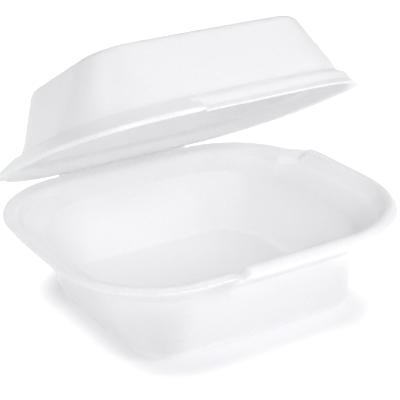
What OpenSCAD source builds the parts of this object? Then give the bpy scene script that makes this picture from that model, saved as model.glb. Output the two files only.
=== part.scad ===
// Foam clamshell box. Tray and lid are one moulded foam sheet, folded along a straight crease at the back.
// Origin: middle of the tray's underside. X runs along the crease, the front faces -Y, Z is up.

/* [Rim] */
// Width of the tray's plain rim, side to side
rim_w = 128.6; // [112:0.2:156]
// Depth of the tray's plain rim, from the crease to the front edge
rim_d = 105.6; // [92:0.2:130]
// Corner radius of the tray's rim
rim_r = 34.4; // [30:0.2:38]
// How far each side edge bows out at its middle
side_bow = 0.9; // [0:0.1:3]
// How far the front edge bows out at its middle
front_bow = 1.2; // [0:0.1:4]
// Width of the tray's flange along its plain edge
tray_flange_w = 5; // [3.6:0.1:6]
// Width of the lid's flange along its plain edge
lid_flange_w = 3.4; // [2.6:0.1:5]
// Drop of a plain flange across its width
flange_drop = 0.5; // [0.2:0.1:1.5]
// Drop from the edge to the foot of the steep band
band_drop = 4; // [3.4:0.1:6]
// How far the tray's steep band leans inwards on its way down
tray_band_run = 2; // [1:0.1:3]
// How far the lid's steep band leans inwards
lid_band_run = 1.2; // [0.8:0.1:3]

/* [Lock] */
// Height of the tray's locking lip above its edge, before its crest is rounded
tray_lip = 3.8; // [2.5:0.1:4.5]
// Distance from the crest of the tray's lip out to its edge
tray_lip_w = 4.3; // [3.6:0.1:5]
// How far the tray's locking lip stands out at the side
lip_side = 5.6; // [3:0.1:7]
// How far the tray's locking lip stands out at the front
lip_front = 2.6; // [1.6:0.1:6]
// How far the lid's locking lip hangs below its flange
lid_lip = 0.4; // [0.2:0.1:1.2]
// Distance from the root of the lid's lip out to its edge
lid_lip_w = 1.6; // [1.2:0.1:3]
// Distance from the edge of the lid's lip in to the foot of the steep band
lid_lip_foot = 8.2; // [7:0.1:10]
// Clearance between a locking lip and the rim that nests in it
lock_gap = 0.45; // [0.3:0.05:1]
// Extra room at the sides inside the tray's lip
nest_side = 1.3; // [0:0.1:2.5]
// Extra room at the front inside the tray's lip
nest_front = 1.4; // [0:0.1:2.5]
// Length along the front from the left corner to the start of the tray's lip
lock_left = 10.7; // [8.5:0.1:16]
// Angle round the back corner at which a locking lip ends
lock_turn = 20; // [14:0.5:40]
// Length over which a lip moves out, and again over which it rises
lock_ramp = 2.6; // [1.5:0.1:3]
// Gap along the front between the ends of the two lips
lock_split = 0.8; // [0.4:0.1:2]

/* [Tray] */
// Height of the tray, from its underside to the crease
tray_h = 32.2; // [26:0.1:42]
// Drop of the tray's sloping shoulder between band and wall
tray_shoulder_drop = 3.4; // [2:0.1:5]
// Plan width of the tray's shoulder at the sides
tray_shoulder_side = 6.2; // [4:0.1:8]
// Plan width of the tray's shoulder at the front
tray_shoulder_front = 1.2; // [1:0.1:5]
// Plan width of the tray's shoulder at the crease
tray_shoulder_back = 2.6; // [1.5:0.1:5]
// Radius of the front corners where the tray's walls begin
tray_mouth_front_r = 23.4; // [18:0.2:28]
// Radius of the back corners where the tray's walls begin
tray_mouth_back_r = 30; // [22:0.2:36]
// Plan lean of the tray's side walls
tray_lean_side = 7.8; // [5:0.1:12]
// Plan lean of the tray's front wall
tray_lean_front = 2.2; // [2:0.1:9]
// Plan lean of the tray's back wall
tray_lean_back = 8.3; // [5:0.1:12]
// Radius of the floor's front corners
floor_front_r = 12; // [10:0.5:20]
// Radius of the floor's back corners
floor_back_r = 20; // [12:0.5:26]

/* [Lid] */
// Height of the lid, from the crease to its crown
lid_h = 29.6; // [24:0.1:40]
// Front corner radius of the lid's rim
lid_front_r = 36.2; // [32:0.2:39]
// Back corner radius of the lid's rim
lid_back_r = 38; // [36:0.2:40]
// Drop of the lid's sloping shoulder between band and wall
lid_shoulder_drop = 1.2; // [1:0.1:3]
// Plan width of the lid's shoulder at the sides
lid_shoulder_side = 4.4; // [3:0.1:7]
// Plan width of the lid's shoulder at the front
lid_shoulder_front = 2; // [1:0.1:5]
// Plan width of the lid's shoulder at the crease
lid_shoulder_back = 3.6; // [1.5:0.1:5]
// Radius of the front corners where the lid's walls begin
lid_mouth_front_r = 25.4; // [18:0.2:28]
// Radius of the back corners where the lid's walls begin
lid_mouth_back_r = 32; // [22:0.2:36]
// Plan lean of the lid's side walls
lid_lean_side = 12; // [6:0.1:14]
// Plan lean of the lid's front wall
lid_lean_front = 8.2; // [5:0.1:13]
// Plan lean of the lid's back wall
lid_lean_back = 8.5; // [5:0.1:13]
// Radius of the crown's front corners
crown_front_r = 13; // [10:0.5:18]
// Radius of the crown's back corners
crown_back_r = 14.5; // [10:0.5:20]

/* [Sheet] */
// Thickness of the foam sheet
sheet_t = 2; // [1.5:0.1:2.2]
// Thickness of the plain edge, which is pressed thin
edge_t = 0.7; // [0.4:0.1:1.2]
// Height of the cut edge of a locking lip
lip_t = 1.5; // [0.8:0.1:1.8]
// Inside bend radius between flange and band
flange_bend = 0.5; // [0.3:0.1:0.8]
// Inside bend radius between band and shoulder
band_bend = 1.4; // [0.6:0.1:1.6]
// Bend radius between shoulder and wall
mouth_bend = 1.4; // [0.8:0.1:2]
// Inside bend radius between wall and floor or crown
floor_bend = 2.6; // [1.5:0.1:5]

/* [Hinge] */
// Angle by which the lid stands open
open_angle = 29.8; // [0:0.1:180]
// Gap between the two edges along the crease
crease_gap = 0.3; // [0.2:0.05:0.6]
// Gap between the two flanges when the box is shut
seat_gap = 0.3; // [0.2:0.05:0.6]

/* [Hidden] */

foam_white = [0.95, 0.96, 0.97];
tray_foot = tray_flange_w + tray_band_run;
lid_foot = lid_flange_w + lid_band_run;
tray_lost_d = 2 * tray_foot + tray_shoulder_back + tray_shoulder_front + tray_lean_back + tray_lean_front;
floor_d = rim_d - tray_lost_d;
crease_y = floor_d / 2 + tray_lean_back + tray_shoulder_back + tray_foot;
front_y = rim_d - crease_y;
bend_steps = 4;
corner_steps = 11;
side_steps = 4;
floor_inset = 8;
low_bow = 0.4;
front_run = rim_w / 2 - side_bow - rim_r;
everywhere = 1000;

function clamp(v) = min(max(v, 0), 1);
function mix(a, b, t) = a + (b - a) * t;

// An outline is [half width, front reach, back reach, front radius, back radius, share of the bow].
function inset(o, d) = [o[0] - d, o[1] - d, o[2] - d, o[3] - d, o[4] - d, o[5]];
function shrink(o, side, front, back, front_r, back_r, bow) =
    [o[0] - side, o[1] - front, o[2] - back, front_r, back_r, bow];

// How deep the tray's lip reaches inwards from its edge at the level where the two flanges meet.
tray_reach = tray_lip_w + (tray_foot - tray_lip_w) * tray_lip / (tray_lip + band_drop);
lid_nest = tray_reach + lock_gap;
lid_grip = lid_lip_w + lock_gap;

tray_plain = [rim_w / 2 - side_bow, front_y - front_bow, crease_y - crease_gap / 2, rim_r, rim_r, 1];
tray_locked = shrink(tray_plain, -lip_side, -lip_front, 0, rim_r + lip_side, rim_r + lip_side, 1);
lid_plain = shrink(tray_locked, lid_nest + nest_side, lid_nest + nest_front, 0, lid_front_r, lid_back_r, 1);
lid_locked = shrink(tray_plain, -lid_grip, -lid_grip, 0, lid_front_r, lid_back_r, 1);
tray_mouth = shrink(
    inset(tray_plain, tray_foot),
    tray_shoulder_side,
    tray_shoulder_front,
    tray_shoulder_back,
    tray_mouth_front_r,
    tray_mouth_back_r,
    1
);
lid_mouth = shrink(
    inset(lid_plain, lid_foot),
    lid_shoulder_side,
    lid_shoulder_front,
    lid_shoulder_back,
    lid_mouth_front_r,
    lid_mouth_back_r,
    1
);
floor_line = shrink(
    tray_mouth,
    tray_lean_side,
    tray_lean_front,
    tray_lean_back,
    floor_front_r,
    floor_back_r,
    low_bow
);
crown_line = shrink(
    lid_mouth,
    lid_lean_side,
    lid_lean_front,
    lid_lean_back,
    crown_front_r,
    crown_back_r,
    low_bow
);

// A station round the outline is [share of the straight half width, share of the straight depth,
// corner direction x, corner direction y, way into the tray's lip, way into the lid's lip].
ramp_turn = lock_ramp / rim_r * 180 / PI;
front_stops = concat(
    [0],
    [for (k = [2, 1, 0]) lock_left - lock_split - k * lock_ramp],
    [for (k = [0, 1, 2]) lock_left + k * lock_ramp],
    [for (k = [1 : side_steps]) mix(lock_left + 2 * lock_ramp, 2 * front_run, k / (side_steps + 1))]
);
back_turns = concat(
    [0, lock_turn / 2 - ramp_turn],
    [for (k = [2, 1, 0]) lock_turn - k * ramp_turn],
    [for (k = [1 : corner_steps - 2]) mix(lock_turn, 90, k / (corner_steps - 1))]
);
function arc_way(turn) = (lock_turn - turn) * rim_r * PI / 180;
tray_way = 4;
lid_way = 5;
stations = concat(
    [for (s = front_stops) [s / front_run - 1, 0, 0, -1, s - lock_left, lock_left - lock_split - s]],
    [
        for (k = [0 : corner_steps - 1])
            let(a = 90 * k / corner_steps - 90)
            [1, 0, cos(a), sin(a), everywhere, -everywhere]
    ],
    [for (k = [0 : side_steps - 1]) [1, k / side_steps, 1, 0, everywhere, -everywhere]],
    [for (a = back_turns) [1, 1, cos(a), sin(a), arc_way(a), -everywhere]],
    [for (k = [0 : side_steps]) [1 - 2 * k / side_steps, 1, 0, 1, -everywhere, -everywhere]],
    [
        for (k = [len(back_turns) - 1 : -1 : 1])
            let(a = back_turns[k])
            [-1, 1, -cos(a), sin(a), -everywhere, arc_way(a)]
    ],
    [for (k = [0 : side_steps - 1]) [-1, 1 - k / side_steps, -1, 0, -everywhere, everywhere]],
    [
        for (k = [0 : corner_steps - 1])
            let(a = 180 + 90 * k / corner_steps)
            [-1, 0, cos(a), sin(a), -everywhere, everywhere]
    ]
);
count = len(stations);

// Point of an outline at a station, with the sides and the front bowed out.
function place(o, s) =
    let(
        r = mix(o[3], o[4], s[1]),
        x = s[0] * (o[0] - r) + s[2] * r,
        y = mix(o[3] - o[1], o[2] - o[4], s[1]) + s[3] * r,
        across = x / o[0],
        along = y < 0 ? y / o[1] : y / o[2]
    )
    [
        x + side_bow * o[5] * across * (1 - along * along),
        y + (y < 0 ? front_bow * o[5] * along * (1 - across * across) : 0)
    ];

// The section is a bent line of [inset from the edge, height above the crease], from the edge inwards.
// Its corners are the edge, the crest or flange bend, the band's foot, the mouth and the wall's foot.
function bent_line(edge_z, crest, foot, shoulder, wall, depth) =
    let(mouth = foot + [shoulder[0], -shoulder[1]])
    [
        [0, edge_z],
        crest,
        foot,
        mouth,
        [mouth[0] + wall, -depth],
        [mouth[0] + wall + floor_inset, -depth]
    ];
function unit(v) = v / norm(v);
function side_of(v) = [v[1], -v[0]];

// The same line on the outer face: moved by the sheet's thickness with mitred corners, thinner at the edge.
function outer_line(line, edge) = [
    for (k = [0 : len(line) - 1])
        let(
            a = side_of(unit(line[max(k, 1)] - line[max(k, 1) - 1])),
            b = side_of(unit(line[min(k + 1, len(line) - 1)] - line[min(k + 1, len(line) - 1) - 1]))
        )
        k == 0 ? line[0] - [0, edge] : line[k] + (a + b) * sheet_t / (1 + a * b)
];

// Points of a line whose inner corners are rounded.
function rounded_line(line, radii) = concat(
    [line[0]],
    [
        for (k = [1 : len(line) - 2])
            let(
                a = unit(line[k - 1] - line[k]),
                b = unit(line[k + 1] - line[k]),
                half = acos(a * b) / 2,
                reach = radii[k] / tan(half),
                centre = line[k] + unit(a + b) * radii[k] / sin(half),
                from = line[k] + a * reach - centre,
                to = line[k] + b * reach - centre,
                whole = acos(unit(from) * unit(to))
            )
            for (j = [0 : bend_steps - 1])
                let(t = j / (bend_steps - 1))
                centre + (from * sin((1 - t) * whole) + to * sin(t * whole)) / sin(whole)
    ],
    [line[len(line) - 1]]
);
inner_radii = [0, flange_bend + sheet_t, band_bend, mouth_bend, floor_bend, 0];
outer_radii = [0, flange_bend, band_bend + sheet_t, mouth_bend, floor_bend + sheet_t, 0];

// Section of a half, from the middle of its inner face over the edge to the middle of its outer face.
function section(line, edge) =
    let(
        inner = rounded_line(line, inner_radii),
        outer = rounded_line(outer_line(line, edge), outer_radii)
    )
    concat([for (k = [len(inner) - 1 : -1 : 0]) inner[k]], outer);

// Plan position of a section point: rim outlines near the edge, then the mouth, then the floor or crown.
function plan(rim, mouth, low, foot_at, run, wall, d, s) =
    d < foot_at ? place(inset(rim, d), s)
    : d < foot_at + run ? mix(place(inset(rim, foot_at), s), place(mouth, s), (d - foot_at) / run)
    : d < foot_at + run + wall ? mix(place(mouth, s), place(low, s), (d - foot_at - run) / wall)
    : place(inset(low, d - foot_at - run - wall), s);

// One half of the box as a closed sheet. way is +1 for the tray and -1 for the lid, which is built shut.
// flange and foot are the plain rim's bends, lip is the locked rim's edge height, crest and heel its bends.
module half_box(
    plain,
    locked,
    mouth,
    low,
    height,
    flange,
    foot,
    lip,
    crest,
    heel,
    shoulder_drop,
    lip_column,
    way
) {
    run = (2 * (plain[0] - mouth[0]) + plain[1] - mouth[1] + plain[2] - mouth[2]) / 4 - foot[0];
    wall = (2 * (mouth[0] - low[0]) + mouth[1] - low[1] + mouth[2] - low[2]) / 4;
    depth = height - sheet_t - seat_gap / 2;
    shoulder = [run, shoulder_drop];
    plain_rows = section(bent_line(0, flange, foot, shoulder, wall, depth), edge_t);
    locked_rows = section(bent_line(lip, crest, heel, shoulder, wall, depth), lip_t);
    crease_z = tray_h - way * seat_gap / 2;
    last = len(plain_rows) - 1;
    points = concat(
        [
            for (k = [0 : last])
                for (s = stations)
                    let(
                        out = clamp(s[lip_column] / lock_ramp),
                        up = clamp(s[lip_column] / lock_ramp - 1),
                        near = plan(plain, mouth, low, foot[0], run, wall, plain_rows[k][0], s),
                        far = plan(locked, mouth, low, heel[0], run, wall, locked_rows[k][0], s),
                        xy = mix(near, far, out)
                    )
                    [xy[0], xy[1], crease_z + way * mix(plain_rows[k][1], locked_rows[k][1], up)]
        ],
        [
            [0, 0, crease_z + way * plain_rows[0][1]],
            [0, 0, crease_z + way * plain_rows[last][1]]
        ]
    );
    tip = count * (last + 1);
    sheet = concat(
        [
            for (k = [0 : last - 1])
                for (i = [0 : count - 1])
                    let(a = k * count + i, b = k * count + (i + 1) % count)
                    each [[a, b, b + count], [a, b + count, a + count]]
        ],
        [for (i = [0 : count - 1]) [tip, (i + 1) % count, i]],
        [for (i = [0 : count - 1]) [tip + 1, last * count + i, last * count + (i + 1) % count]]
    );
    faces = way > 0 ? sheet : [for (f = sheet) [f[2], f[1], f[0]]];
    polyhedron(points, faces, convexity = 8);
}

module tray() {
    color(foam_white)
        half_box(
            tray_plain,
            tray_locked,
            tray_mouth,
            floor_line,
            tray_h,
            [tray_flange_w, -flange_drop],
            [tray_foot, -band_drop],
            0,
            [tray_lip_w, tray_lip],
            [tray_foot, -band_drop],
            tray_shoulder_drop,
            tray_way,
            1
        );
}

module lid() {
    color(foam_white)
        translate([0, crease_y, tray_h])
            rotate([-open_angle, 0, 0])
                translate([0, -crease_y, -tray_h])
                    half_box(
                        lid_plain,
                        lid_locked,
                        lid_mouth,
                        crown_line,
                        lid_h,
                        [lid_flange_w, -flange_drop],
                        [lid_foot, -band_drop],
                        lid_lip,
                        [lid_lip_w, 0],
                        [lid_lip_foot, -band_drop],
                        lid_shoulder_drop,
                        lid_way,
                        -1
                    );
}

tray();
lid();
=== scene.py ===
import math

import bpy
import numpy as np
from mathutils import Matrix, Vector


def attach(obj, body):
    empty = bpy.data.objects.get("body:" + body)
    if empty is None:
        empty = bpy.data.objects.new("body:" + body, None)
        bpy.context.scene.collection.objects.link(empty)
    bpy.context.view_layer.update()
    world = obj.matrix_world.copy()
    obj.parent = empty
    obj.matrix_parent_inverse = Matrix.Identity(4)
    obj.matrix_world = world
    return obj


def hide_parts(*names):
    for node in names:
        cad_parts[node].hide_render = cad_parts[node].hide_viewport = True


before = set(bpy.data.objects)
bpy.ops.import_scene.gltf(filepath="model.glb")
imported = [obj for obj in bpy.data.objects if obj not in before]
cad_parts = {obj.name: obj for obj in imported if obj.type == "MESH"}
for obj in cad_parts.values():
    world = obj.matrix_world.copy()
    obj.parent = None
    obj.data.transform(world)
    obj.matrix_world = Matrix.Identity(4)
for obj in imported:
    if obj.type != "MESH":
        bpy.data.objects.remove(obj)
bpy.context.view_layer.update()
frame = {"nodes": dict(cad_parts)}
scene = bpy.context.scene
mm = 0.001  # sizes below are in millimetres, Blender's are in metres
print("frame loaded:", ", ".join(frame["nodes"]))


# Small helpers

def linearColor(hexText):  # sRGB hex to linear RGBA
    parts = [int(hexText[i:i + 2], 16) / 255 for i in (1, 3, 5)]
    return [c / 12.92 if c <= 0.04045 else ((c + 0.055) / 1.055) ** 2.4 for c in parts] + [1.0]


def addNode(tree, kind, inputs=None, **settings):  # one node with its settings, values and links
    node = tree.nodes.new(kind)
    for name, value in settings.items():
        setattr(node, name, value)
    for key, value in (inputs or {}).items():
        if isinstance(value, bpy.types.NodeSocket):
            tree.links.new(value, node.inputs[key])
        else:
            node.inputs[key].default_value = value
    return node


def smoothStep(t):
    t = np.clip(t, 0, 1)
    return t * t * (3 - 2 * t)


def unit(v):
    return v / np.linalg.norm(v)


# Camera at the photograph's viewing angle

photoCamera = {
    "azimuth": -32.58,  # degrees round the box from its front
    "elevation": 23.6,
    "distance": 465.11,
    "target": (-0.16, 0.86, 36.03),
    "lens": 117.43,
    "sensor": 36.0,
    "clip": (0.01, 50.0),  # metres
}


def addCamera(c):
    a, e = math.radians(c["azimuth"]), math.radians(c["elevation"])
    back = Vector((math.sin(a) * math.cos(e), -math.cos(a) * math.cos(e), math.sin(e)))
    right = Vector((math.cos(a), math.sin(a), 0))
    up = back.cross(right)
    data = bpy.data.cameras.new("photoCamera")
    data.lens, data.sensor_width = c["lens"], c["sensor"]
    data.clip_start, data.clip_end = c["clip"]
    camera = bpy.data.objects.new("photoCamera", data)
    turn = Matrix((right, up, back)).transposed().to_4x4()
    camera.matrix_world = Matrix.Translation((Vector(c["target"]) + back * c["distance"]) * mm) @ turn
    scene.collection.objects.link(camera)
    scene.camera = camera


addCamera(photoCamera)
print("camera placed")


# Extruded polystyrene foam sheet, hot pressed between moulds: a white skin with a soft satin sheen,
# faint cells under it, slow cloudy thickness, and open cells where the rim was cut.

foamFinish = {
    "skin": "#fcfcfd",
    "cloud": "#fefefe",
    "cellShade": "#f2f2f5",
    "cellSize": 0.9,  # real cells are about 0.3 mm, drawn coarser so that they show
    "cellReach": (0.25, 0.75),  # cell middle to cell wall, in cells
    "cellShow": 0.3,  # doubled on the cut edge
    "cloudSize": 14.0,
    "dimpleSize": 3.2,
    "dimpleReach": (0.3, 0.7),  # low and high values of the noise
    "dimpleDepth": 0.08,
    "dimpleStrength": 0.15,
    "roughness": 0.37,
    "roughnessSpread": 0.05,
    "ior": 1.55,
    "glow": 1.0,  # share of light that wanders inside the sheet
    "glowDepth": 4.6,
    "glowTint": (1.0, 1.0, 1.0),
}


def foamMaterial(name, f):
    material = bpy.data.materials.new(name)
    material.use_nodes = True
    tree = material.node_tree
    tree.nodes.clear()
    place = addNode(tree, "ShaderNodeTexCoord").outputs["Object"]
    cut = addNode(tree, "ShaderNodeAttribute", attribute_name="cutEdge").outputs["Fac"]
    cells = addNode(tree, "ShaderNodeTexVoronoi", {"Vector": place, "Scale": 1 / (f["cellSize"] * mm)},
                    feature="SMOOTH_F1")
    cloud = addNode(tree, "ShaderNodeTexNoise", {"Vector": place, "Scale": 1 / (f["cloudSize"] * mm), "Detail": 3})
    dimple = addNode(tree, "ShaderNodeTexNoise", {"Vector": place, "Scale": 1 / (f["dimpleSize"] * mm), "Detail": 2})
    clouded = addNode(tree, "ShaderNodeMix", {
        0: cloud.outputs["Fac"], 6: linearColor(f["skin"]), 7: linearColor(f["cloud"])},
        data_type="RGBA")
    cellShare = addNode(tree, "ShaderNodeMapRange", {
        "Value": cells.outputs["Distance"], "From Min": f["cellReach"][0], "From Max": f["cellReach"][1],
        "To Min": 0.0, "To Max": f["cellShow"]})
    cellDepth = addNode(tree, "ShaderNodeMath", {0: cellShare.outputs[0], 1: cut, 2: cellShare.outputs[0]},
                        operation="MULTIPLY_ADD")
    color = addNode(tree, "ShaderNodeMix", {
        0: cellDepth.outputs[0], 6: clouded.outputs[2], 7: linearColor(f["cellShade"])}, data_type="RGBA")
    roughness = addNode(tree, "ShaderNodeMapRange", {
        "Value": dimple.outputs["Fac"], "From Min": f["dimpleReach"][0], "From Max": f["dimpleReach"][1],
        "To Min": f["roughness"] - f["roughnessSpread"], "To Max": f["roughness"] + f["roughnessSpread"]})
    dimpled = addNode(tree, "ShaderNodeBump", {
        "Height": dimple.outputs["Fac"], "Strength": f["dimpleStrength"], "Distance": f["dimpleDepth"] * mm})
    shader = addNode(tree, "ShaderNodeBsdfPrincipled", {
        "Base Color": color.outputs[2], "Roughness": roughness.outputs[0], "Normal": dimpled.outputs[0],
        "IOR": f["ior"], "Subsurface Weight": f["glow"], "Subsurface Scale": f["glowDepth"] * mm,
        "Subsurface Radius": f["glowTint"]})
    addNode(tree, "ShaderNodeOutputMaterial", {"Surface": shader.outputs[0]})
    return material


foam = foamMaterial("polystyreneFoam", foamFinish)
pressedFoam = foamMaterial("polystyreneFoamPressed", {**foamFinish, "glow": 0.0})  # squeezed solid in the crease
print("foam materials made")


# The foam sheet: both halves are one bent section carried round a rounded outline

sheetShape = {
    "thickness": 2.0,
    "plainEdge": 0.7,
    "lipEdge": 1.5,
    "edgeRound": 0.22,
    "flangeBend": 0.5,
    "bandBend": 1.4,
    "mouthBend": 1.0,
    "floorBend": 1.9,
    "outerBend": 4.6,  # the same bend on the outside of the sheet
    "floorInset": 8.0,
    "flatUnder": 8.0,  # height over which the outer face goes from flat to wavy
    "floorShares": (0.12, 0.28, 0.46, 0.64, 0.82, 1.0),  # rings between the floor's edge and its middle
    "between": (2, 12, 4, 3, 5, 1, 5, 3, 4, 12, 2),  # extra rings between the bends
    "sideBow": 0.9,
    "frontBow": 1.2,
    "creaseY": 56.55,
    "creaseZ": 32.2,
    "openAngle": 29.8,
    "seatGap": 0.3,
    "frontRun": 29.0,  # half length of the straight front
    "rimRadius": 34.4,
    "lockLeft": 10.7,  # start of the tray's lip from the front left corner
    "lockSplit": 0.8,
    "lockRamp": 2.6,
    "lockTurn": 20.0,
    "cornerSteps": 44,
    "sideSteps": 20,
    "rampSteps": 9,
    "bendSteps": 8,
    "stepWidth": 1.0,
    "stepRise": 0.7,
    "stepEnds": (10.0, 25.0),  # the step fades out between these places on the way to the crease
    "waviness": 0.16,
    "waveLength": 26.0,
}
trayShape = {  # an outline is half width, front reach, back reach, front radius, back radius, share of the bow
    "plain": (63.4, 47.85, 56.4, 34.4, 34.4, 1.0),
    "lipped": (69.0, 50.45, 56.4, 40.0, 40.0, 1.0),
    "mouth": (50.2, 39.65, 46.8, 23.4, 30.0, 1.0),
    "low": (42.4, 37.45, 38.5, 12.0, 20.0, 0.4),
    "height": 32.2,
    "flange": (5.0, -0.5),
    "foot": (7.0, -4.0),
    "lipDrop": 0.0,
    "crest": (4.3, 3.8),
    "heel": (7.0, -4.0),
    "shoulderDrop": 3.4,
    "edgeStep": 0.9,  # the plain rim's outer edge lies this much lower
    "sameFoot": False,
    "way": 1,
    "seed": 3.0,
}
lidShape = {
    "plain": (61.635, 42.985, 56.4, 36.2, 38.0, 1.0),
    "lipped": (65.45, 49.9, 56.4, 36.2, 38.0, 1.0),
    "mouth": (52.635, 36.385, 48.2, 25.4, 32.0, 1.0),
    "low": (40.635, 28.185, 39.7, 13.0, 14.5, 0.4),
    "height": 29.6,
    "flange": (3.4, -0.5),
    "foot": (4.6, -4.0),
    "lipDrop": 0.4,
    "crest": (1.6, 0.0),
    "heel": (8.2, -4.0),
    "shoulderDrop": 1.2,
    "edgeStep": 0.0,
    "sameFoot": True,
    "way": -1,
    "seed": 11.0,
}


def sheetStations(s):  # columns: straight share x, straight share y, corner direction x, y, way into each lip
    run, left, ramp = s["frontRun"], s["lockLeft"], s["lockRamp"]
    right = left - s["lockSplit"]
    far = 1000.0  # well away from the lip's end
    rampTurn = math.degrees(ramp / s["rimRadius"])
    fine = np.linspace(0, 2 * ramp, s["rampSteps"] * 2)
    front = np.unique(np.round(np.concatenate([
        np.linspace(0, 2 * run, 2 * s["sideSteps"])[:-1], left + fine, right - fine]), 4))
    front = front[front >= 0]
    turns = np.unique(np.round(np.concatenate([
        np.linspace(0, 90, s["cornerSteps"]), s["lockTurn"] - fine / ramp * rampTurn]), 4))[:-1]
    arcWay = np.radians(s["lockTurn"] - turns) * s["rimRadius"]
    corner = np.linspace(0, 90, s["cornerSteps"])[:-1]
    side = np.linspace(0, 1, s["sideSteps"])[:-1]
    cos, sin = lambda a: np.cos(np.radians(a)), lambda a: np.sin(np.radians(a))
    rows = []
    rows += [(f / run - 1, 0, 0, -1, f - left, right - f) for f in front]
    rows += [(1, 0, cos(a - 90), sin(a - 90), far, -far) for a in corner]
    rows += [(1, k, 1, 0, far, -far) for k in side]
    rows += [(1, 1, cos(a), sin(a), w, -far) for a, w in zip(turns, arcWay)]
    rows += [(1 - 2 * k, 1, 0, 1, -far, -far) for k in side]
    rows += [(-1, 1, 0, 1, -far, -far)]
    rows += [(-1, 1, -cos(a), sin(a), -far, w) for a, w in zip(turns[:0:-1], arcWay[:0:-1])]
    rows += [(-1, 1 - k, -1, 0, -far, far) for k in side]
    rows += [(-1, 0, cos(a + 180), sin(a + 180), -far, far) for a in corner]
    return np.array(rows)


def outlineAt(o, st, s):  # plan points of an outline, with the sides and the front bowed out
    r = o[3] + (o[4] - o[3]) * st[:, 1]
    x = st[:, 0] * (o[0] - r) + st[:, 2] * r
    y = (o[3] - o[1]) + ((o[2] - o[4]) - (o[3] - o[1])) * st[:, 1] + st[:, 3] * r
    across = x / o[0]
    along = np.where(y < 0, y / o[1], y / o[2])
    bowX = s["sideBow"] * o[5] * across * (1 - along ** 2)
    bowY = np.where(y < 0, s["frontBow"] * o[5] * along * (1 - across ** 2), 0)
    return np.stack([x + bowX, y + bowY], 1)


def insetOutline(o, d):
    return tuple(v - d for v in o[:5]) + (o[5],)


def sheetSection(edgeZ, crest, foot, run, drop, wall, depth, edge, s):
    t = s["thickness"]
    mouth = (foot[0] + run, foot[1] - drop)
    inner = [np.array(p, float) for p in (
        (0, edgeZ), crest, foot, mouth, (mouth[0] + wall, -depth), (mouth[0] + wall + s["floorInset"], -depth))]
    outer = [inner[0] - (0, edge)]
    for k in range(1, len(inner)):
        before = unit(inner[k] - inner[k - 1])
        after = unit(inner[k + 1] - inner[k]) if k + 1 < len(inner) else before
        a, b = (np.array((v[1], -v[0])) for v in (before, after))
        outer.append(inner[k] + (a + b) * t / (1 + a @ b))
    path = inner[::-1] + outer
    radii = [s["floorBend"], s["mouthBend"], s["bandBend"], s["flangeBend"] + t, s["edgeRound"],
             s["edgeRound"], s["flangeBend"], s["bandBend"] + t, s["mouthBend"], s["outerBend"]]
    between = s["between"]
    arcs = [[path[0]]]
    for k, radius in enumerate(radii, 1):
        a, b = unit(path[k - 1] - path[k]), unit(path[k + 1] - path[k])
        half = math.acos(np.clip(a @ b, -1, 1)) / 2
        reach = radius / math.tan(half)
        centre = path[k] + unit(a + b) * radius / math.sin(half)
        start, end = path[k] + a * reach - centre, path[k] + b * reach - centre
        whole = math.acos(np.clip(unit(start) @ unit(end), -1, 1))
        arcs.append([centre + (start * math.sin((1 - j) * whole) + end * math.sin(j * whole)) / math.sin(whole)
                     for j in np.linspace(0, 1, s["bendSteps"])])
    arcs.append([path[-1]])
    points, cut = [], []
    for k, arc in enumerate(arcs):
        points += arc
        cut += [1.0 if k in (5, 6) else 0.0] * len(arc)
        if k + 1 < len(arcs):
            share = np.linspace(0, 1, between[k] + 2)[1:-1]
            points += [arc[-1] + (arcs[k + 1][0] - arc[-1]) * j for j in share]
            cut += [1.0 if k == 5 else 0.0] * len(share)
    return np.array(points), np.array(cut)


def planAt(rim, h, footAt, run, wall, d, st, s):  # rim outlines near the edge, then the mouth, then floor or crown
    heel = outlineAt(insetOutline(rim, footAt), st, s)
    if h["sameFoot"]:  # both rims bend at one line, so the ridge runs on past the end of the lip
        heel = outlineAt(insetOutline(h["plain"], h["foot"][0]), st, s)
    if d < footAt:
        edge = outlineAt(rim, st, s)
        return edge + (heel - edge) * d / footAt if h["sameFoot"] else outlineAt(insetOutline(rim, d), st, s)
    mouth, low = outlineAt(h["mouth"], st, s), outlineAt(h["low"], st, s)
    if d < footAt + run:
        return heel + (mouth - heel) * (d - footAt) / run
    if d < footAt + run + wall:
        return mouth + (low - mouth) * (d - footAt - run) / wall
    return outlineAt(insetOutline(h["low"], d - footAt - run - wall), st, s)


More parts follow.
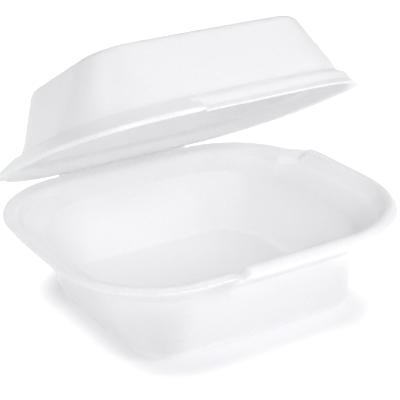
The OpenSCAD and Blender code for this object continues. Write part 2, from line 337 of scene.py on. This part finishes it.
def sheetRings(h, s):  # closed rings from the middle of the inner face over the edge to the middle of the outer one
    st = sheetStations(s)
    plain, mouth, low, way = h["plain"], h["mouth"], h["low"], h["way"]
    run = (2 * (plain[0] - mouth[0]) + plain[1] - mouth[1] + plain[2] - mouth[2]) / 4 - h["foot"][0]
    wall = (2 * (mouth[0] - low[0]) + mouth[1] - low[1] + mouth[2] - low[2]) / 4
    depth = h["height"] - s["thickness"] - s["seatGap"] / 2
    rest = (run, h["shoulderDrop"], wall, depth)
    near, cut = sheetSection(0.0, h["flange"], h["foot"], *rest, s["plainEdge"], s)
    far, cut = sheetSection(h["lipDrop"], h["crest"], h["heel"], *rest, s["lipEdge"], s)
    lipWay = st[:, 4 if way > 0 else 5] / s["lockRamp"]
    out, up = smoothStep(lipWay)[:, None], smoothStep(lipWay - 1)
    creaseZ = s["creaseZ"] - way * s["seatGap"] / 2
    rings, give, edges = [], [], []
    for k in range(len(near)):
        a = planAt(plain, h, h["foot"][0], run, wall, near[k][0], st, s)
        b = planAt(h["lipped"], h, h["heel"][0], run, wall, far[k][0], st, s)
        z = creaseZ + way * (near[k][1] + (far[k][1] - near[k][1]) * up)
        lowered = h["edgeStep"] * (1 - smoothStep((near[k][0] - s["stepWidth"]) / s["stepRise"]))
        fade = 1 - smoothStep((a[:, 1] - s["stepEnds"][0]) / (s["stepEnds"][1] - s["stepEnds"][0]))
        z = z - way * lowered * fade * (1 - smoothStep(lipWay))
        rings.append(np.column_stack([a + (b - a) * out, z]))
        free = smoothStep((near[k][0] - h["foot"][0] - run) / (0.5 * wall))
        if k > len(near) / 2:
            free = free * smoothStep((near[k][1] + h["height"]) / s["flatUnder"])  # the underside stays flat
        give.append(free)
        edges.append(cut[k])
    head = [rings[0] * np.array((1 - f, 1 - f, 1)) for f in s["floorShares"]][::-1]
    tail = [rings[-1] * np.array((1 - f, 1 - f, 1)) for f in s["floorShares"]]
    give = [give[0]] * len(head) + give + [give[-1]] * len(tail)
    edges = [0.0] * len(head) + edges + [0.0] * len(tail)
    rings = np.array(head + rings + tail)
    if way < 0:  # the lid is shaped shut, then turned open about the crease
        a = math.radians(-s["openAngle"])
        pivot = np.array((0, s["creaseY"], s["creaseZ"]))
        turn = np.array(((1, 0, 0), (0, math.cos(a), -math.sin(a)), (0, math.sin(a), math.cos(a))))
        rings = (rings - pivot) @ turn.T + pivot
        rings = rings[:, ::-1]
    return rings * mm, np.array(give), np.array(edges)


def sheetLoftTree(material):  # skins the rings, with the slight unevenness of a hot pressed sheet
    tree = bpy.data.node_groups.new("sheetLoft", "GeometryNodeTree")
    tree.interface.new_socket("Rings Cloud", in_out="INPUT", socket_type="NodeSocketGeometry")
    ids = {}
    for name, kind in (("Rings", "NodeSocketInt"), ("Points", "NodeSocketInt"), ("Waviness", "NodeSocketFloat"),
                       ("Wave Length", "NodeSocketFloat"), ("Seed", "NodeSocketFloat")):
        ids[name] = tree.interface.new_socket(name, in_out="INPUT", socket_type=kind).identifier
    tree.interface.new_socket("Sheet", in_out="OUTPUT", socket_type="NodeSocketGeometry")
    given = addNode(tree, "NodeGroupInput").outputs
    closing = addNode(tree, "FunctionNodeIntegerMath", {0: given["Points"], 1: 1}, operation="ADD").outputs[0]
    grid = addNode(tree, "GeometryNodeMeshGrid", {"Vertices X": given["Rings"], "Vertices Y": closing})
    index = addNode(tree, "GeometryNodeInputIndex").outputs[0]
    ring = addNode(tree, "FunctionNodeIntegerMath", {0: index, 1: closing}, operation="DIVIDE_FLOOR").outputs[0]
    step = addNode(tree, "FunctionNodeIntegerMath", {0: index, 1: closing}, operation="MODULO").outputs[0]
    wrapped = addNode(tree, "FunctionNodeIntegerMath", {0: step, 1: given["Points"]}, operation="MODULO").outputs[0]
    pick = addNode(tree, "FunctionNodeIntegerMath", {0: ring, 1: given["Points"], 2: wrapped},
                   operation="MULTIPLY_ADD").outputs[0]
    sampled = {}
    for name, kind, value in (
            ("place", "FLOAT_VECTOR", addNode(tree, "GeometryNodeInputPosition").outputs[0]),
            ("give", "FLOAT", addNode(tree, "GeometryNodeInputNamedAttribute", {"Name": "give"},
                                      data_type="FLOAT").outputs[0]),
            ("cutEdge", "FLOAT", addNode(tree, "GeometryNodeInputNamedAttribute", {"Name": "cutEdge"},
                                         data_type="FLOAT").outputs[0])):
        sampled[name] = addNode(tree, "GeometryNodeSampleIndex", {
            "Geometry": given["Rings Cloud"], "Value": value, "Index": pick}, data_type=kind).outputs[0]
    scale = addNode(tree, "ShaderNodeMath", {0: 1.0, 1: given["Wave Length"]}, operation="DIVIDE").outputs[0]
    noise = addNode(tree, "ShaderNodeTexNoise", {
        "Vector": sampled["place"], "W": given["Seed"], "Scale": scale, "Detail": 1.0}, noise_dimensions="4D")
    centred = addNode(tree, "ShaderNodeVectorMath", {0: noise.outputs["Color"], 1: (0.5, 0.5, 0.5)},
                      operation="SUBTRACT").outputs[0]
    amount = addNode(tree, "ShaderNodeMath", {0: given["Waviness"], 1: sampled["give"]},
                     operation="MULTIPLY").outputs[0]
    wave = addNode(tree, "ShaderNodeVectorMath", {0: centred, "Scale": amount}, operation="SCALE").outputs[0]
    skin = addNode(tree, "GeometryNodeSetPosition", {
        "Geometry": grid.outputs["Mesh"], "Position": sampled["place"], "Offset": wave}).outputs[0]
    marked = addNode(tree, "GeometryNodeStoreNamedAttribute", {
        "Geometry": skin, "Name": "cutEdge", "Value": sampled["cutEdge"]}, data_type="FLOAT").outputs[0]
    closed = addNode(tree, "GeometryNodeMergeByDistance", {"Geometry": marked, "Distance": 1e-6}).outputs[0]
    smooth = addNode(tree, "GeometryNodeSetShadeSmooth", {"Geometry": closed}).outputs[0]
    real = addNode(tree, "GeometryNodeRealizeInstances", {"Geometry": smooth}).outputs[0]
    coated = addNode(tree, "GeometryNodeSetMaterial", {"Geometry": real, "Material": material}).outputs[0]
    addNode(tree, "NodeGroupOutput", {0: coated})
    return tree, ids


def loftHalf(name, h, s, tree, ids):
    rings, give, edges = sheetRings(h, s)
    count, points = rings.shape[:2]
    cloud = bpy.data.meshes.new(name + "Rings")
    cloud.from_pydata(rings.reshape(-1, 3).tolist(), [], [])
    for field, values in (("give", give), ("cutEdge", edges)):
        layer = cloud.attributes.new(field, "FLOAT", "POINT")
        layer.data.foreach_set("value", np.repeat(values, points).astype(np.float32))
    source = bpy.data.objects.new(name + "Rings", cloud)
    scene.collection.objects.link(source)
    modifier = source.modifiers.new("sheetLoft", "NODES")
    modifier.node_group = tree
    for field, value in (("Rings", count), ("Points", points), ("Waviness", s["waviness"] * mm),
                         ("Wave Length", s["waveLength"] * mm), ("Seed", h["seed"])):
        modifier[ids[field]] = value
    graph = bpy.context.evaluated_depsgraph_get()
    mesh = bpy.data.meshes.new_from_object(source.evaluated_get(graph), preserve_all_data_layers=True,
                                           depsgraph=graph)
    source.modifiers.remove(modifier)
    bpy.data.objects.remove(source)
    mesh.name = name
    piece = bpy.data.objects.new(name, mesh)
    scene.collection.objects.link(piece)
    print(name, "lofted:", len(mesh.polygons), "faces")
    return piece


loftTree, loftIds = sheetLoftTree(foam)
foamTray = loftHalf("foamTray", trayShape, sheetShape, loftTree, loftIds)
foamLid = loftHalf("foamLid", lidShape, sheetShape, loftTree, loftIds)
for piece, node in ((foamTray, "tray"), (foamLid, "lid")):
    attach(piece, node)
    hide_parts(node)


# The pressed fold that joins the two flanges along the crease

creaseShape = {
    "halfLength": 28.6,
    "radius": 0.55,
    "taper": 3.0,
    "tip": 0.05,  # share of the radius left at the ends
    "steps": 60,
    "sides": 12,
}


def creaseFold(c, s):
    xs = np.linspace(-c["halfLength"], c["halfLength"], c["steps"])
    thin = np.sqrt(np.clip((c["halfLength"] - np.abs(xs)) / c["taper"], 0, 1))
    points, faces, n = [], [], c["sides"]
    for x, t in zip(xs, np.maximum(thin, c["tip"])):
        for j in range(n):
            a = 2 * math.pi * j / n
            points.append((x * mm, (s["creaseY"] + c["radius"] * t * math.cos(a)) * mm,
                           (s["creaseZ"] + c["radius"] * t * math.sin(a)) * mm))
    for i in range(len(xs) - 1):
        faces += [(i * n + j, i * n + (j + 1) % n, (i + 1) * n + (j + 1) % n, (i + 1) * n + j) for j in range(n)]
    faces += [tuple(range(n - 1, -1, -1)), tuple(range((len(xs) - 1) * n, len(xs) * n))]
    mesh = bpy.data.meshes.new("creaseFold")
    mesh.from_pydata(points, [], faces)
    mesh.polygons.foreach_set("use_smooth", [True] * len(mesh.polygons))
    mesh.materials.append(pressedFoam)
    fold = bpy.data.objects.new("creaseFold", mesh)
    scene.collection.objects.link(fold)
    return fold


fold = creaseFold(creaseShape, sheetShape)
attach(fold, "tray")
print("crease folded")


# Studio: pale glowing paper on the floor with a painted contact shadow round the box, soft boxes in front and
# behind, and a pale sky

studio = {
    "floorSize": 12000.0,
    "floorColor": "#f3f3f4",
    "floorRoughness": 0.9,
    "floorGlow": 0.66,
    "foot": (28.0, 26.0, 14.0),  # half sizes and corner radius of the box's footprint, round which the contact shadow is painted
    "footShift": (0.0, -4.0, 0.0),  # the painted shadow lies a little to the front
    "footShade": 23.0,  # the paper's glow fades over this distance from the footprint, painting a soft contact shadow
    "lightColor": "#fdfdff",  # a touch cool, as in the photograph
    "skyAbove": 0.36,
    "skyBelow": 1.0,  # stands for what a pale table throws back up
    "skyBlend": 0.12,  # half width of the change at the horizon
    "skyTilt": (0.3, 0.0, 0.0),  # the room is brighter on this side
    "softboxes": {
        "left": {"azimuth": -42.0, "elevation": 30.0, "distance": 1300.0, "size": 650.0, "power": 5.2},
        "right": {"azimuth": 42.0, "elevation": 28.0, "distance": 1300.0, "size": 650.0, "power": 4.8},
        "low": {"azimuth": 0.0, "elevation": 14.0, "distance": 1300.0, "size": 650.0, "power": 1.7},
        "rim": {"azimuth": -106.0, "elevation": 52.0, "distance": 1300.0, "size": 400.0, "power": 1.7},
        "back": {"azimuth": 172.0, "elevation": 58.0, "distance": 1300.0, "size": 650.0, "power": 2.0},
    },
}


def addFloor(c):
    half = c["floorSize"] / 2 * mm
    mesh = bpy.data.meshes.new("studioFloor")
    mesh.from_pydata([(-half, -half, 0), (half, -half, 0), (half, half, 0), (-half, half, 0)], [], [(0, 1, 2, 3)])
    material = bpy.data.materials.new("studioPaper")
    material.use_nodes = True
    tree = material.node_tree
    tree.nodes.clear()
    place = addNode(tree, "ShaderNodeTexCoord").outputs["Object"]
    shifted = addNode(tree, "ShaderNodeVectorMath", {0: place, 1: tuple(v * mm for v in c["footShift"])},
                      operation="SUBTRACT").outputs[0]
    away = addNode(tree, "ShaderNodeVectorMath", {0: shifted}, operation="ABSOLUTE").outputs[0]
    beyond = addNode(tree, "ShaderNodeVectorMath", {0: away, 1: (c["foot"][0] * mm, c["foot"][1] * mm, 1.0)},
                     operation="SUBTRACT").outputs[0]
    outside = addNode(tree, "ShaderNodeVectorMath", {0: beyond, 1: (0, 0, 0)}, operation="MAXIMUM").outputs[0]
    distance = addNode(tree, "ShaderNodeVectorMath", {0: outside}, operation="LENGTH").outputs["Value"]
    # painted contact shadow: the paper's glow is dimmed round the box's footprint
    glow = addNode(tree, "ShaderNodeMapRange", {
        "Value": distance, "From Min": c["foot"][2] * mm, "From Max": (c["foot"][2] + c["footShade"]) * mm,
        "To Min": 0.0, "To Max": c["floorGlow"]}, interpolation_type="SMOOTHSTEP")
    shader = addNode(tree, "ShaderNodeBsdfPrincipled", {
        "Base Color": linearColor(c["floorColor"]), "Roughness": c["floorRoughness"], "Specular IOR Level": 0.0,
        "Emission Color": (1, 1, 1, 1), "Emission Strength": glow.outputs[0]})
    addNode(tree, "ShaderNodeOutputMaterial", {"Surface": shader.outputs[0]})
    mesh.materials.append(material)
    floor = bpy.data.objects.new("studioFloor", mesh)
    floor.visible_diffuse = False  # the lower sky lights the walls instead
    scene.collection.objects.link(floor)


def addSoftbox(name, c, color):
    a, e = math.radians(c["azimuth"]), math.radians(c["elevation"])
    back = Vector((math.sin(a) * math.cos(e), -math.cos(a) * math.cos(e), math.sin(e)))
    data = bpy.data.lights.new(name, "AREA")
    data.size, data.energy = c["size"] * mm, c["power"]
    data.color = color[:3]
    box = bpy.data.objects.new(name, data)
    turn = back.to_track_quat("Z", "Y").to_matrix().to_4x4()
    box.matrix_world = Matrix.Translation(back * c["distance"] * mm) @ turn
    scene.collection.objects.link(box)


addFloor(studio)
for name, softbox in studio["softboxes"].items():
    addSoftbox(name + "Softbox", softbox, linearColor(studio["lightColor"]))
world = bpy.data.worlds.new("studioSky")
world.use_nodes = True
skyTree = world.node_tree
skyTree.nodes.clear()
skyWay = addNode(skyTree, "ShaderNodeTexCoord").outputs["Generated"]
skyHeight = addNode(skyTree, "ShaderNodeSeparateXYZ", {0: skyWay}).outputs["Z"]
skyLight = addNode(skyTree, "ShaderNodeMapRange", {
    "Value": skyHeight, "From Min": -studio["skyBlend"], "From Max": studio["skyBlend"],
    "To Min": studio["skyBelow"], "To Max": studio["skyAbove"]}, interpolation_type="SMOOTHSTEP")
skyLean = addNode(skyTree, "ShaderNodeVectorMath", {0: skyWay, 1: studio["skyTilt"]}, operation="DOT_PRODUCT")
skyPower = addNode(skyTree, "ShaderNodeMath", {
    0: skyLight.outputs[0], 1: skyLean.outputs["Value"], 2: skyLight.outputs[0]}, operation="MULTIPLY_ADD")
skyShade = addNode(skyTree, "ShaderNodeBackground", {
    "Color": linearColor(studio["lightColor"]), "Strength": skyPower.outputs[0]})
addNode(skyTree, "ShaderNodeOutputWorld", {"Surface": skyShade.outputs[0]})
scene.world = world
scene.view_settings.view_transform = "Standard"
print("studio lit")
